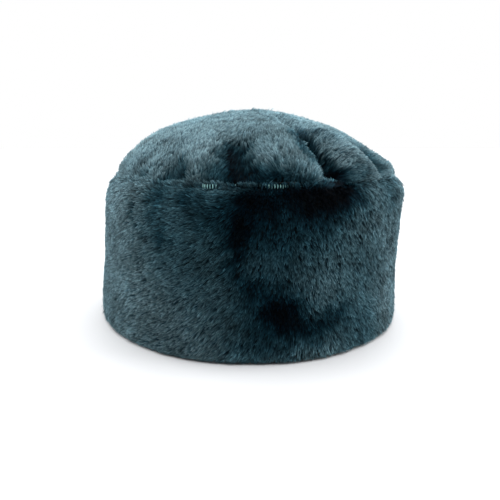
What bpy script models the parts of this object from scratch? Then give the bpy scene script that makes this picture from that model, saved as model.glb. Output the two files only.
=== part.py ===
# A round sheepskin hat with the wool outside: a tall side band and a soft domed crown,
# each a wall as thick as the skin and its clipped pile together, and open underneath.
# Metres, +Z up. The origin is at the centre of the hem, on the surface that the hat stands on.
# Azimuth 0 is the front of the hat, at -Y, and it grows towards +X.
from math import atan2, cos, exp, hypot, pi, radians, sin

import bmesh
import bpy
from mathutils import Vector

# Driving sizes
HALF_WIDTH = 0.099  # outer face of the pile, across the hat
HALF_LENGTH = 0.110  # outer face of the pile, front to back
BAND_HEIGHT = 0.090  # hem to crown seam
CROWN_RISE = 0.042  # crown seam to the top of the crown
WALL = 0.011  # skin and clipped pile together
HEM_ROUND = 0.003  # pile rounding off at the hem
HEM_EDGE = 0.001  # bevel inside the hem, where the skin is turned
SHOULDER_DROP = 0.016  # height over which the band's pile rounds in to the seam
GROOVE_DEPTH = 0.008  # how far the seam lies inside the band's outer face
SEAM_LEDGE = 0.006  # width of the two faces that meet in the seam
SEAM_GAP = 0.0003
LIP_RISE = 0.007  # height over which the crown's pile rounds out of the seam
LIP_SWELL = 0.0012  # how far it comes back out there
LEAN = 0.0038  # how far the top of the band stands over to one side
LEAN_AZIMUTH = 75  # degrees, the side that it leans to
CROWN_ROUNDNESS = 1.7  # exponent of the dome's outline, 2 being an ellipse
THIN_REACH = 0.25  # share of the way up the crown over which its wall reaches full thickness
FOLD_START = 0.16  # share of the way up by which a fold has its depth
SWELL_START = 0.09  # share of the way up by which a broad swell has its own
FOLD_SHOWS_INSIDE = 0.65  # share of a fold's depth that the inner face has too

# How finely the faces are laid out
AROUND = 128  # columns round the hat
WALL_ROWS = 5
SHOULDER_ROWS = 4
HEM_ROWS = 3
DOME_ROWS = 16
LINING_ROWS = 8
CLIMB_STEP = 0.002  # how far either side the crown's slope is read
TURN_STEP = 1  # and its run round the hat, in degrees
SMOOTH_ANGLE = 50  # degrees, edges sharper than this stay sharp
MERGE = 0.00001  # the points that meet on the axis are one

PILE_COLOUR = (0.045, 0.085, 0.102, 1.0)
PILE_ROUGHNESS = 0.9

# Heights are shares of BAND_HEIGHT, spreads shares of the half width and half length,
# and leans shares of LEAN.
BAND_SECTIONS = [
    {"height": 0.00, "spread": 1.006, "lean": 0.00},
    {"height": 0.12, "spread": 1.000, "lean": 0.02},
    {"height": 0.35, "spread": 0.986, "lean": 0.20},
    {"height": 0.60, "spread": 0.980, "lean": 0.60},
    {"height": 1.00, "spread": 0.974, "lean": 1.00},
]

# Shallow hollows of the band. Widths round the hat are in degrees, heights are shares of
# BAND_HEIGHT and depths shares of WALL. A negative depth is a swell.
BAND_DENTS = [
    {"azimuth": -52, "height": 0.74, "width": 9, "tall": 0.20, "depth": 0.16},
    {"azimuth": 4, "height": 0.84, "width": 20, "tall": 0.14, "depth": 0.18},
    {"azimuth": -8, "height": 0.28, "width": 14, "tall": 0.12, "depth": 0.08},
    {"azimuth": 66, "height": 0.93, "width": 22, "tall": 0.10, "depth": -0.20},
    {"azimuth": 160, "height": 0.45, "width": 24, "tall": 0.25, "depth": 0.14},
]

# Folds of the crown, each straight in plan from its foot, near the seam, to its head.
# "out" is how far from the middle an end lies, as a share of the seam's oval. Reaches are
# how far the fold slopes to its left and right, seen from outside, as shares of HALF_WIDTH,
# and depths are shares of WALL. A negative depth is a swell.
CROWN_FOLDS = [
    # the deep fold at the front and the two behind it on that side
    {"foot_azimuth": 15, "foot_out": 1.00, "head_azimuth": 15, "head_out": 0.60,
     "left_reach": 0.045, "right_reach": 0.090, "end_reach": 0.14, "depth": 1.10},
    {"foot_azimuth": 41, "foot_out": 1.00, "head_azimuth": 35, "head_out": 0.66,
     "left_reach": 0.045, "right_reach": 0.060, "end_reach": 0.12, "depth": 0.55},
    {"foot_azimuth": 58, "foot_out": 1.00, "head_azimuth": 51, "head_out": 0.70,
     "left_reach": 0.045, "right_reach": 0.060, "end_reach": 0.12, "depth": 0.34},
    # the lobe that hangs over the seam in front of the deep fold, and the one behind it
    {"foot_azimuth": -2, "foot_out": 0.98, "head_azimuth": 3, "head_out": 0.80,
     "left_reach": 0.140, "right_reach": 0.070, "end_reach": 0.10, "depth": -0.36},
    {"foot_azimuth": 29, "foot_out": 0.98, "head_azimuth": 26, "head_out": 0.70,
     "left_reach": 0.080, "right_reach": 0.080, "end_reach": 0.10, "depth": -0.30},
    # soft hollows and gathers along the seam
    {"foot_azimuth": -16, "foot_out": 1.00, "head_azimuth": -18, "head_out": 0.86,
     "left_reach": 0.080, "right_reach": 0.070, "end_reach": 0.10, "depth": 0.50},
    {"foot_azimuth": -43, "foot_out": 1.00, "head_azimuth": -46, "head_out": 0.93,
     "left_reach": 0.070, "right_reach": 0.060, "end_reach": 0.08, "depth": 0.32},
    {"foot_azimuth": -60, "foot_out": 1.00, "head_azimuth": -58, "head_out": 0.92,
     "left_reach": 0.060, "right_reach": 0.070, "end_reach": 0.08, "depth": 0.26},
    {"foot_azimuth": -98, "foot_out": 1.00, "head_azimuth": -92, "head_out": 0.86,
     "left_reach": 0.070, "right_reach": 0.080, "end_reach": 0.10, "depth": 0.28},
    {"foot_azimuth": -140, "foot_out": 1.00, "head_azimuth": -148, "head_out": 0.78,
     "left_reach": 0.080, "right_reach": 0.060, "end_reach": 0.12, "depth": 0.42},
    {"foot_azimuth": 172, "foot_out": 1.00, "head_azimuth": 176, "head_out": 0.84,
     "left_reach": 0.070, "right_reach": 0.080, "end_reach": 0.10, "depth": 0.34},
    {"foot_azimuth": 128, "foot_out": 1.00, "head_azimuth": 120, "head_out": 0.72,
     "left_reach": 0.060, "right_reach": 0.080, "end_reach": 0.12, "depth": 0.46},
    {"foot_azimuth": 88, "foot_out": 1.00, "head_azimuth": 84, "head_out": 0.82,
     "left_reach": 0.060, "right_reach": 0.070, "end_reach": 0.10, "depth": 0.34},
]

# Broad swells and hollows of the crown. Widths are in degrees, climbs are shares of the way from
# seam to top, and depths shares of WALL. A negative depth is a swell.
CROWN_SWELLS = [
    {"azimuth": 70, "climb": 0.08, "width": 28, "tall": 0.10, "depth": -0.36},
    {"azimuth": 70, "climb": 0.34, "width": 26, "tall": 0.12, "depth": 0.16},
    {"azimuth": 50, "climb": 0.60, "width": 30, "tall": 0.20, "depth": 0.10},
    {"azimuth": -105, "climb": 0.42, "width": 36, "tall": 0.20, "depth": -0.20},
]


def smooth_share(x):
    """0 to 1, easing in and out."""
    x = min(max(x, 0.0), 1.0)
    return x * x * (3 - 2 * x)


def bell(x):
    """1 at 0, falling to almost nothing by 2 either side."""
    return exp(-x * x)


def degrees_past(a, b):
    """How far azimuth a lies past b, from -180 to 180."""
    return (a - b + 180) % 360 - 180


def at_height(share, column):
    """The value in that column of the band's sections, eased between its rows."""
    for low, high in zip(BAND_SECTIONS, BAND_SECTIONS[1:]):
        if share <= high["height"]:
            part = (share - low["height"]) / (high["height"] - low["height"])
            return low[column] + (high[column] - low[column]) * smooth_share(part)
    return BAND_SECTIONS[-1][column]


def oval_point(azimuth, out, inset, height_share):
    """The plan point on the hat's oval at that azimuth and share of the way up the band.

    It is brought in to the share "out" of the oval, and then moved inwards by inset.
    """
    turn = radians(azimuth)
    spread = out * at_height(height_share, "spread")
    lean = LEAN * at_height(height_share, "lean")
    face = Vector((sin(turn) / HALF_WIDTH, -cos(turn) / HALF_LENGTH)).normalized()
    middle = Vector((sin(radians(LEAN_AZIMUTH)), -cos(radians(LEAN_AZIMUTH)))) * lean
    edge = Vector((HALF_WIDTH * sin(turn), -HALF_LENGTH * cos(turn))) * spread
    return middle + edge - face * inset


def band_point(azimuth, inset, height):
    """A point of the band, so far inside its outer face and so far above the hem."""
    share = height / BAND_HEIGHT
    for dent in BAND_DENTS:
        across = degrees_past(azimuth, dent["azimuth"]) / dent["width"]
        up = (share - dent["height"]) / dent["tall"]
        inset += WALL * dent["depth"] * bell(hypot(across, up))
    plan = oval_point(azimuth, 1.0, inset, share)
    return Vector((plan.x, plan.y, height))


def fold_depth(plan):
    """How far the crown's folds press its face in, at that point of the plan."""
    depth = 0.0
    for fold in CROWN_FOLDS:
        foot = oval_point(fold["foot_azimuth"], fold["foot_out"], GROOVE_DEPTH, 1.0)
        head = oval_point(fold["head_azimuth"], fold["head_out"], GROOVE_DEPTH, 1.0)
        run = head - foot
        along = (plan - foot).dot(run) / run.length_squared
        across = (plan - foot).cross(run) / run.length
        reach = HALF_WIDTH * (fold["left_reach"] if across < 0 else fold["right_reach"])
        past_end = max(-along, along - 1, 0.0) * run.length / (HALF_WIDTH * fold["end_reach"])
        depth += WALL * fold["depth"] * bell(across / reach) * bell(past_end)
    return depth


def swell_depth(azimuth, climb):
    """How far the crown's broad hollows press its face in there."""
    depth = 0.0
    for swell in CROWN_SWELLS:
        across = degrees_past(azimuth, swell["azimuth"]) / swell["width"]
        up = (climb - swell["climb"]) / swell["tall"]
        depth += WALL * swell["depth"] * bell(hypot(across, up))
    return depth


def crown_face(azimuth, climb):
    """The crown's outer face before its folds, at that share of the way from seam to top."""
    up = sin(climb * pi / 2) ** (2 / CROWN_ROUNDNESS)
    out = max(cos(climb * pi / 2), 0.0) ** (2 / CROWN_ROUNDNESS)
    swell = LIP_SWELL * smooth_share(CROWN_RISE * up / LIP_RISE) * out
    middle = oval_point(azimuth, 0.0, 0.0, 1.0)
    plan = middle + (oval_point(azimuth, 1.0, GROOVE_DEPTH - swell, 1.0) - middle) * out
    return Vector((plan.x, plan.y, BAND_HEIGHT + SEAM_GAP + CROWN_RISE * up))


def crown_normal(azimuth, climb):
    """Which way the crown's face points there, before its folds."""
    if climb >= 1:
        return Vector((0.0, 0.0, 1.0))
    low, high = max(climb - CLIMB_STEP, 0.0), min(climb + CLIMB_STEP, 1.0)
    slope = crown_face(azimuth, high) - crown_face(azimuth, low)
    side = crown_face(azimuth + TURN_STEP, climb) - crown_face(azimuth - TURN_STEP, climb)
    normal = side.cross(slope)
    if climb <= 0:
        normal.z = 0.0  # the face in the seam is level
    return normal.normalized()


def crown_point(azimuth, climb, inner):
    """A point of the crown's outer or inner face, folds and all."""
    face = crown_face(azimuth, climb)
    depth = fold_depth(face.xy) * smooth_share(climb / FOLD_START)
    depth += swell_depth(azimuth, climb) * smooth_share(climb / SWELL_START)
    if inner:
        thick = SEAM_LEDGE + (WALL - SEAM_LEDGE) * smooth_share(climb / THIN_REACH)
        depth = thick + depth * FOLD_SHOWS_INSIDE
    point = face - crown_normal(azimuth, climb) * depth
    point.z = max(point.z, BAND_HEIGHT + SEAM_GAP)  # no fold hangs below the seam
    return point


def band_profile():
    """The band's cross-section as (inset, height) points, once round."""
    points = []
    for row in range(HEM_ROWS):
        turn = pi / 2 * row / HEM_ROWS
        points.append((HEM_ROUND * (1 - sin(turn)), HEM_ROUND * (1 - cos(turn))))
    straight = BAND_HEIGHT - SHOULDER_DROP - HEM_ROUND
    for row in range(WALL_ROWS):
        points.append((0.0, HEM_ROUND + straight * row / WALL_ROWS))
    for row in range(SHOULDER_ROWS + 1):
        turn = pi / 2 * row / SHOULDER_ROWS
        rise = SHOULDER_DROP * sin(turn)
        points.append((GROOVE_DEPTH * (1 - cos(turn)), BAND_HEIGHT - SHOULDER_DROP + rise))
    points.append((GROOVE_DEPTH + SEAM_LEDGE, BAND_HEIGHT))
    for row in range(WALL_ROWS):
        share = 1 - row / WALL_ROWS
        points.append((WALL, HEM_EDGE + (BAND_HEIGHT - SHOULDER_DROP - HEM_EDGE) * share))
    points.append((WALL, HEM_EDGE))
    points.append((WALL - HEM_EDGE, 0.0))
    return points


def crown_profile():
    """The crown's cross-section as (climb, inner) points, from the top down and back up inside."""
    outer = [(1 - row / DOME_ROWS, False) for row in range(DOME_ROWS + 1)]
    inner = [(row / LINING_ROWS, True) for row in range(LINING_ROWS + 1)]
    return outer + inner


def spun(points, closed):
    """A mesh of (radius, height) points turned once round Z, one column for each azimuth."""
    mesh = bmesh.new()
    corners = [mesh.verts.new((0.0, -radius, height)) for radius, height in points]
    pairs = list(zip(corners, corners[1:]))
    if closed:
        pairs.append((corners[-1], corners[0]))
    edges = [mesh.edges.new(pair) for pair in pairs]
    bmesh.ops.spin(
        mesh,
        geom=corners + edges,
        axis=(0, 0, 1),
        cent=(0, 0, 0),
        angle=2 * pi,
        steps=AROUND,
        use_merge=True,
    )
    bmesh.ops.remove_doubles(mesh, verts=mesh.verts, dist=MERGE)
    return mesh


def azimuth_of(point):
    """The azimuth of a point of the spun mesh, in degrees."""
    return atan2(point.x, -point.y) * 180 / pi


def pile_material(name):
    """Dark blue-green clipped wool."""
    material = bpy.data.materials.new(name)
    material.use_nodes = True
    shader = material.node_tree.nodes["Principled BSDF"]
    shader.inputs["Base Color"].default_value = PILE_COLOUR
    shader.inputs["Roughness"].default_value = PILE_ROUGHNESS
    shader.inputs["Metallic"].default_value = 0.0
    return material


def finished(mesh, name, collection):
    """An object of that name made from the mesh, closed, facing outwards and smooth."""
    bmesh.ops.recalc_face_normals(mesh, faces=mesh.faces)
    data = bpy.data.meshes.new(name)
    mesh.to_mesh(data)
    mesh.free()
    data.shade_smooth()
    data.set_sharp_from_angle(angle=radians(SMOOTH_ANGLE))
    data.materials.append(pile_material(name + "_pile"))
    piece = bpy.data.objects.new(name, data)
    collection.objects.link(piece)
    return piece


def side_band(collection):
    """The ring wall round the head, with its pile rounded off at the hem and at the seam.

    Its section is turned on a circle of 1 m, and each point is then brought to the hat's oval.
    """
    mesh = spun([(1 - inset, height) for inset, height in band_profile()], closed=True)
    for vertex in mesh.verts:
        inset = 1 - vertex.co.xy.length
        vertex.co = band_point(azimuth_of(vertex.co), inset, vertex.co.z)
    return finished(mesh, "side_band", collection)


def crown(collection):
    """The dome, which starts as two flat discs of 1 m joined at their rims.

    A point's way in from the rim becomes its climb from seam to top.
    """
    sheets = [(1 - climb, -1.0 if inner else 0.0) for climb, inner in crown_profile()]
    mesh = spun(sheets, closed=False)
    for vertex in mesh.verts:
        climb = round(1 - vertex.co.xy.length, 5)
        vertex.co = crown_point(azimuth_of(vertex.co), climb, vertex.co.z < -0.5)
    return finished(mesh, "crown", collection)


def main():
    for item in list(bpy.data.objects):
        bpy.data.objects.remove(item)
    hat = bpy.data.collections.new("sheepskin_hat")
    bpy.context.scene.collection.children.link(hat)
    side_band(hat)
    crown(hat)


main()
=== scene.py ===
import math

import bmesh
import bpy
import numpy as np
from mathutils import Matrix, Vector, noise
from mathutils.bvhtree import BVHTree


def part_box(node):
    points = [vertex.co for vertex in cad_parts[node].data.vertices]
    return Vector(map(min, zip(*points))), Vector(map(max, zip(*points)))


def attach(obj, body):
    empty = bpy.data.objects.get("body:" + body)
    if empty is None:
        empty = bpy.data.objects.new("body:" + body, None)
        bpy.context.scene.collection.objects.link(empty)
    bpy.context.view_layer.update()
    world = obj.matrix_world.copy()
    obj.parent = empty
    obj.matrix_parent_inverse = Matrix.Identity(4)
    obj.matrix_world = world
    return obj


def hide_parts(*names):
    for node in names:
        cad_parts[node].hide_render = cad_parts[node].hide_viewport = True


# A round sheepskin hat: dyed wool pile over a suede skin, with the thread of its crown seam.
# Metres, +Z up, front of the hat at -Y. Azimuths are in degrees from the front and grow towards +X.
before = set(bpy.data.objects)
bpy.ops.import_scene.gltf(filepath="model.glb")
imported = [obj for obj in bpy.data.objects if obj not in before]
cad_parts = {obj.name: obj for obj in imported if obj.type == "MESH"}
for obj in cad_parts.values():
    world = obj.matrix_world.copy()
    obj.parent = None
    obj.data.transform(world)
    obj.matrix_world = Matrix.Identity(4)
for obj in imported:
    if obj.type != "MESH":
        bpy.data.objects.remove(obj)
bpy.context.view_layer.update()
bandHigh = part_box("side_band")[1]
crownLow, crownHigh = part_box("crown")
seamHeight = bandHigh.z
headMiddle = Vector((0, 0, seamHeight * 0.6))
weldDistance = 0.00001
levelReach = 0.0001  # how far off its height a level ring may lie
uprightReach = 0.01  # and how far inwards the wall may lean, as a share
print("frame loaded")


# Camera and studio

cameraPlan = {
    "azimuth": -12.0,
    "distance": 0.3353,  # from the hat's axis
    "height": 0.1077,
    "pitch": 11.96,  # degrees down
    "lens": 34.7,
    "sensor": 36.0,
    "shift": 0.0073,
    "nearest": 0.01,  # what lies nearer isn't seen
}

studio = {
    "floorSize": 60.0,
    "floorColour": (0.55, 0.55, 0.555),
    "floorRoughness": 0.6,
    "worldSeen": (1.0, 1.0, 1.0),
    "worldLight": (0.95, 0.98, 1.0),
    "worldStrength": 0.22,
    "overheadStrength": 6.2,
    "overheadSpread": 90,  # degrees, a wide one has soft shadows
    "overheadTilt": 20,  # degrees from straight down
    "overheadAzimuth": 150,  # where it leans from
    "lamps": [
        # azimuth, out and height are where it stands, power in watts
        {"name": "leftSoftbox", "azimuth": -118, "out": 0.85, "height": 0.40, "size": 0.7, "power": 8.0},
        {"name": "rightSoftbox", "azimuth": 76, "out": 0.90, "height": 0.40, "size": 0.6, "power": 9.0},
    ],
    "lampColour": (0.97, 0.985, 1.0),
    "aimHeight": 0.05,
}


def ringPoint(azimuth, out, height):
    turn = math.radians(azimuth)
    return Vector((out * math.sin(turn), -out * math.cos(turn), height))


def makeCamera():
    data = bpy.data.cameras.new("camera")
    data.lens = cameraPlan["lens"]
    data.sensor_width = cameraPlan["sensor"]
    data.shift_x = cameraPlan["shift"]
    data.clip_start = cameraPlan["nearest"]
    camera = bpy.data.objects.new("camera", data)
    camera.location = ringPoint(cameraPlan["azimuth"], cameraPlan["distance"], cameraPlan["height"])
    tilt = math.pi / 2 - math.radians(cameraPlan["pitch"])
    camera.rotation_euler = (tilt, 0, math.radians(cameraPlan["azimuth"]))
    bpy.context.scene.collection.objects.link(camera)
    bpy.context.scene.camera = camera


def makeStudio():
    bm = bmesh.new()
    bmesh.ops.create_grid(bm, x_segments=1, y_segments=1, size=studio["floorSize"] / 2)
    paleFloor = plainMaterial("paleFloor", studio["floorColour"], studio["floorRoughness"])
    floor = pieceFrom(bm, "floor", [paleFloor])
    data = bpy.data.lights.new("overhead", "SUN")
    data.energy = studio["overheadStrength"]
    data.angle = math.radians(studio["overheadSpread"])
    data.color = studio["lampColour"]
    light = bpy.data.objects.new("overhead", data)
    aim = -ringPoint(studio["overheadAzimuth"], math.sin(math.radians(studio["overheadTilt"])), 1.0)
    light.rotation_euler = aim.to_track_quat("-Z", "Y").to_euler()
    bpy.context.scene.collection.objects.link(light)
    for lamp in studio["lamps"]:
        data = bpy.data.lights.new(lamp["name"], "AREA")
        data.energy = lamp["power"]
        data.size = lamp["size"]
        data.color = studio["lampColour"]
        light = bpy.data.objects.new(lamp["name"], data)
        light.location = ringPoint(lamp["azimuth"], lamp["out"], lamp["height"])
        aim = Vector((0, 0, studio["aimHeight"])) - light.location
        light.rotation_euler = aim.to_track_quat("-Z", "Y").to_euler()
        bpy.context.scene.collection.objects.link(light)
    world = bpy.data.worlds.new("studioWorld")
    world.use_nodes = True
    nodes, links = world.node_tree.nodes, world.node_tree.links
    seen = nodes["Background"]  # what shows behind the hat
    seen.inputs["Color"].default_value = (*studio["worldSeen"], 1)
    lit = nodes.new("ShaderNodeBackground")  # what lights it
    lit.inputs["Color"].default_value = (*studio["worldLight"], 1)
    lit.inputs["Strength"].default_value = studio["worldStrength"]
    path = nodes.new("ShaderNodeLightPath")
    mix = nodes.new("ShaderNodeMixShader")
    links.new(path.outputs["Is Camera Ray"], mix.inputs[0])
    links.new(lit.outputs[0], mix.inputs[1])
    links.new(seen.outputs[0], mix.inputs[2])
    links.new(mix.outputs[0], nodes["World Output"].inputs["Surface"])
    bpy.context.scene.world = world
    bpy.context.scene.view_settings.view_transform = "Standard"


# Small helpers

def plainMaterial(name, colour, roughness):
    material = bpy.data.materials.new(name)
    material.use_nodes = True
    shader = material.node_tree.nodes["Principled BSDF"]
    shader.inputs["Base Color"].default_value = (*colour, 1)
    shader.inputs["Roughness"].default_value = roughness
    return material


def pieceFrom(bm, name, materials):
    data = bpy.data.meshes.new(name)
    bm.to_mesh(data)
    bm.free()
    data.shade_smooth()
    for material in materials:
        data.materials.append(material)
    piece = bpy.data.objects.new(name, data)
    bpy.context.scene.collection.objects.link(piece)
    return piece


def mergedCopy(nodeName):
    bm = bmesh.new()
    bm.from_mesh(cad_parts[nodeName].data)
    bmesh.ops.remove_doubles(bm, verts=bm.verts, dist=weldDistance)
    bmesh.ops.recalc_face_normals(bm, faces=bm.faces)
    return bm


# Away from the middle of the head.
def outward(point):
    return (point - headMiddle).normalized()


# The faces that carry wool: not the inside, the hem's edge or the two that meet in the seam.
def woolFaces(bm, nodeName):
    if nodeName == "crown":
        return crownOutside(bm)
    found = []
    for face in bm.faces:
        heights = [v.co.z for v in face.verts]
        middle = face.calc_center_median()
        away = Vector((middle.x, middle.y, 0)).normalized()
        level = min(heights) > seamHeight - levelReach or max(heights) < levelReach
        if not level and face.normal.dot(away) > -uprightReach:
            found.append(face)
    return found


# The faces joined to the highest one without crossing the level ring at the crown's foot.
def crownOutside(bm):
    start = max(bm.faces, key=lambda face: face.calc_center_median().z)
    found = {start}
    waiting = [start]
    foot = crownLow.z + levelReach
    while waiting:
        for edge in waiting.pop().edges:
            for face in edge.link_faces:
                if face not in found and max(v.co.z for v in face.verts) > foot:
                    found.add(face)
                    waiting.append(face)
    return [face for face in bm.faces if face in found]


# Only the outer face of a node, as an open sheet.
def woolSheet(nodeName):
    bm = mergedCopy(nodeName)
    keep = set(woolFaces(bm, nodeName))
    bmesh.ops.delete(bm, geom=[f for f in bm.faces if f not in keep], context="FACES")
    bmesh.ops.triangulate(bm, faces=bm.faces)
    bm.normal_update()
    return bm


# The wool

pile = {
    "bandTufts": 65000,
    "crownTufts": 43000,
    "fibresInTuft": 4,
    "length": 0.0078,
    "lengthSpread": 0.06,
    "width": 0.00040,
    "widthSpread": 0.25,
    "widthLimits": (0.0001, 0.001),
    "tuftRadius": 0.00060,
    "gather": 0.22,  # how far the tips of a tuft close up
    "stray": 0.00022,  # how far a tip wanders
    "fuzz": 0.00024,  # and how far it stands out over the others
    "bend": 0.08,  # rise of a fibre's middle, as a share of its length
    "roll": 27,  # degrees
    "plush": 0.6,  # how far a fibre is lit as the pile's surface is, and not by its own side
    "turnNoise": 15,  # how far the wool's lie sways, in degrees
    "turnNoiseSize": 0.011,
    "turnSpread": 8,  # and how far each tuft's own does
    "liftNoise": 6,
    "liftNoiseSize": 0.0066,
    "liftSpread": 5,
    "fibreLiftSpread": 5,
    "flattest": 12,
    "steepest": 84,
    "lowest": 0.0004,
    "widest": 0.74,  # how far along a fibre is widest
    "tuftTone": 0.14,  # spread of the tufts' own tones
    "toneLimits": (0.1, 3),
    "bandFibreTone": 0.40,
    "crownFibreTone": 0.21,
    "mottleSize": 0.006,
    "mottle": 0.24,
    "patchSize": 0.016,
    "patch": 0.20,
    "raggedSize": 0.006,
    "ragged": 0.0026,  # how far the edges of the painted shade and painted light wander
    "speckle": 0.0010,  # and how far each tuft's own place in them does
    "sink": 0.0024,  # how much lower the wool lies where the painted shade is darkest
    "lump": 0.0004,  # unevenness of the whole surface
    "lumpSize": 0.008,
    "rowSize": 0.0055,  # soft pale and dark rows that follow the crown's rim, painted light and shade of its soft waves
    "paintedRowShade": 0.22,
    "rowLength": 0.15,  # how soon they change along the rim, as a share of how soon across it
    "rowClimb": 0.6,
    "rim": 0.9,  # the crown's half width and length, as shares of the band's
    "foldEven": 0.4,  # how much a row that "faces" a way darkens a side at right angles to it
    "foldRise": 2.0,  # and how much more one that faces it
}

seeds = {
    # each keeps its own wool the same from run to run
    "side_band": 20,
    "crown": 16,
    "seam": 18,
    "bandPile": 119,
    "crownPile": 120,
    "seamPile": 119,
}

# Which way the wool lies. "turn" is the way the tips point, in degrees above the level to the right
# as seen from outside, "lift" how far they stand up, and "reach" how far the row's say goes, in metres.
# Heights are shares of the band's height, and "out" is the share of the way from the crown's middle.
# On the crown "heading" is the azimuth that the tips point to.
napOnBand = [
    {"azimuth": -72, "height": 0.50, "turn": -115, "lift": 42, "reach": 0.030},
    {"azimuth": -48, "height": 0.90, "turn": -172, "lift": 40, "reach": 0.014},
    {"azimuth": -50, "height": 0.50, "turn": -155, "lift": 40, "reach": 0.022},
    {"azimuth": -48, "height": 0.15, "turn": -150, "lift": 40, "reach": 0.022},
    {"azimuth": -30, "height": 0.85, "turn": -176, "lift": 46, "reach": 0.014},
    {"azimuth": -30, "height": 0.40, "turn": -146, "lift": 42, "reach": 0.022},
    {"azimuth": -20, "height": 0.10, "turn": -128, "lift": 44, "reach": 0.014},
    {"azimuth": -15, "height": 0.70, "turn": -112, "lift": 54, "reach": 0.016},
    {"azimuth": 2, "height": 0.85, "turn": -92, "lift": 54, "reach": 0.018},
    {"azimuth": -6, "height": 0.35, "turn": -98, "lift": 50, "reach": 0.016},
    {"azimuth": -2, "height": 0.05, "turn": -118, "lift": 44, "reach": 0.010},
    {"azimuth": 12, "height": 0.55, "turn": -88, "lift": 46, "reach": 0.016},
    {"azimuth": 18, "height": 0.25, "turn": -82, "lift": 44, "reach": 0.014},
    {"azimuth": 28, "height": 0.60, "turn": -86, "lift": 40, "reach": 0.018},
    {"azimuth": 30, "height": 0.10, "turn": -58, "lift": 40, "reach": 0.016},
    {"azimuth": 48, "height": 0.50, "turn": -86, "lift": 36, "reach": 0.024},
    {"azimuth": 80, "height": 0.50, "turn": -82, "lift": 36, "reach": 0.040},
    {"azimuth": 125, "height": 0.50, "turn": -76, "lift": 40, "reach": 0.040},
    {"azimuth": 165, "height": 0.70, "turn": -62, "lift": 44, "reach": 0.030},
    {"azimuth": 165, "height": 0.25, "turn": -100, "lift": 42, "reach": 0.030},
    {"azimuth": -150, "height": 0.50, "turn": -112, "lift": 42, "reach": 0.040},
    {"azimuth": -108, "height": 0.50, "turn": -122, "lift": 42, "reach": 0.040},
]
napOnCrown = [
    {"azimuth": -75, "out": 0.85, "heading": 130, "lift": 40, "reach": 0.026},
    {"azimuth": -50, "out": 0.80, "heading": 115, "lift": 38, "reach": 0.022},
    {"azimuth": -55, "out": 0.98, "heading": 165, "lift": 56, "reach": 0.007},
    {"azimuth": -39, "out": 0.98, "heading": 160, "lift": 56, "reach": 0.007},
    {"azimuth": -28, "out": 0.55, "heading": 110, "lift": 38, "reach": 0.022},
    {"azimuth": -25, "out": 0.88, "heading": 140, "lift": 44, "reach": 0.010},
    {"azimuth": -13, "out": 0.92, "heading": 170, "lift": 60, "reach": 0.009},
    {"azimuth": -2, "out": 0.82, "heading": 190, "lift": 46, "reach": 0.016},
    {"azimuth": 4, "out": 0.98, "heading": 200, "lift": 54, "reach": 0.008},
    {"azimuth": 26, "out": 0.85, "heading": 100, "lift": 40, "reach": 0.016},
    {"azimuth": 44, "out": 0.85, "heading": 105, "lift": 40, "reach": 0.016},
    {"azimuth": 70, "out": 0.90, "heading": 140, "lift": 46, "reach": 0.024},
    {"azimuth": 0, "out": 0.10, "heading": 125, "lift": 38, "reach": 0.030},
    {"azimuth": 110, "out": 0.70, "heading": 150, "lift": 46, "reach": 0.035},
    {"azimuth": 165, "out": 0.70, "heading": 120, "lift": 48, "reach": 0.035},
    {"azimuth": -140, "out": 0.70, "heading": -150, "lift": 48, "reach": 0.035},
    {"azimuth": -100, "out": 0.80, "heading": 160, "lift": 44, "reach": 0.030},
]
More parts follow.
